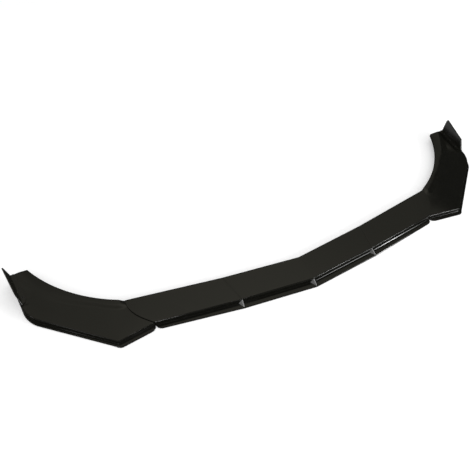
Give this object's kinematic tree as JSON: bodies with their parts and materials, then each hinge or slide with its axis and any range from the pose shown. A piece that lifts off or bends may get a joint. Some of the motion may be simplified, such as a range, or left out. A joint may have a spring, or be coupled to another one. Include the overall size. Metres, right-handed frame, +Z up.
{
  "type": "front splitter lip",
  "caption": "Universal front splitter lip for a car bumper: a V-shaped centre blade with gussets, two swept ends with raised inner bands, and upright winglets.",
  "frame": {"origin": "on the ground plane under the middle of the part, halfway between the nose and the inner rear corners", "axes": "+X across the car, the long way; +Y from the nose to the rear; +Z up"},
  "size_m": [1.8022, 0.469, 0.0864],
  "materials": {
    "centre_plastic": "moulded gloss black",
    "end_plastic": "moulded gloss black",
    "winglet_plastic": "moulded gloss black",
    "screw_steel": "black oxide",
    "washer_steel": "zinc plated"
  },
  "bodies": {
    "root": {"centre_section": "centre_plastic", "left_end_section": "end_plastic", "right_end_section": "end_plastic", "left_winglet": "winglet_plastic", "right_winglet": "winglet_plastic", "left_joint_screw_front": "screw_steel", "left_joint_screw_middle": "screw_steel", "left_joint_screw_rear": "screw_steel", "right_joint_screw_front": "screw_steel", "right_joint_screw_middle": "screw_steel", "right_joint_screw_rear": "screw_steel", "left_joint_washer_front": "washer_steel", "left_joint_washer_middle": "washer_steel", "left_joint_washer_rear": "washer_steel", "right_joint_washer_front": "washer_steel", "right_joint_washer_middle": "washer_steel", "right_joint_washer_rear": "washer_steel", "left_winglet_screw_front": "screw_steel", "left_winglet_screw_middle": "screw_steel", "left_winglet_screw_rear": "screw_steel", "right_winglet_screw_front": "screw_steel", "right_winglet_screw_middle": "screw_steel", "right_winglet_screw_rear": "screw_steel"}
  },
  "joints": []
}
